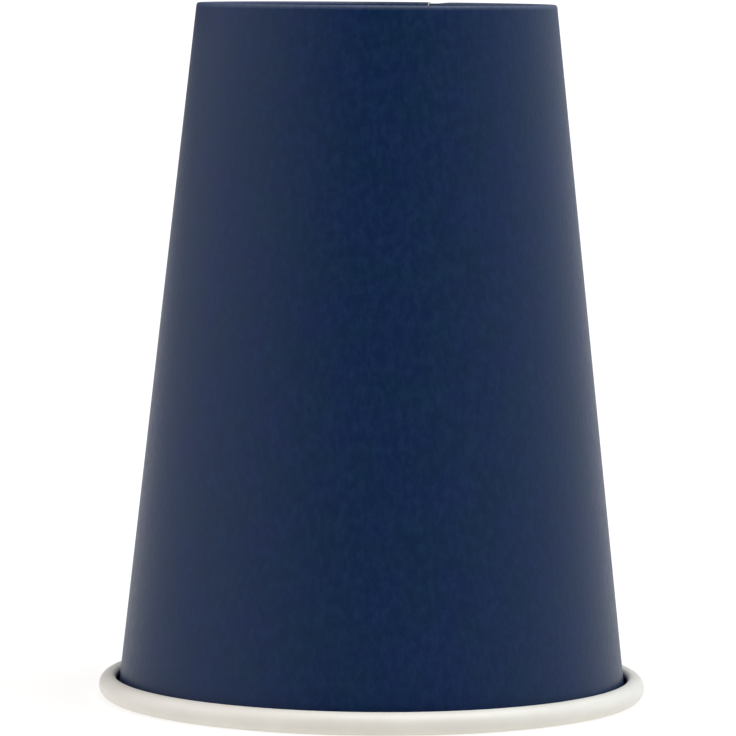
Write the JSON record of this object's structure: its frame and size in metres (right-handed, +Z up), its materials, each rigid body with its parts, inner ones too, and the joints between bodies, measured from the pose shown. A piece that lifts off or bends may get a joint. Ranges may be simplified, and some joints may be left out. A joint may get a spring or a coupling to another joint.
{
  "type": "paper cup",
  "caption": "Tapered single-wall paper cup, navy outside and white inside, upside down on its rolled rim, with a lapped side seam and a bottom disc held in a folded hem.",
  "frame": {"origin": "middle of the plane that the rolled rim rests on", "axes": "+Z up along the cup's axis, from the open rim to the closed foot; the side seam is at the back, 80 degrees from +X towards +Y"},
  "size_m": [0.09, 0.09, 0.114],
  "materials": {
    "printed_board": "matt navy print over white paperboard",
    "white_board": "white paperboard with a thin satin plastic film"
  },
  "bodies": {
    "root": {"side_wall": "printed_board", "bottom_disc": "white_board"}
  },
  "joints": []
}
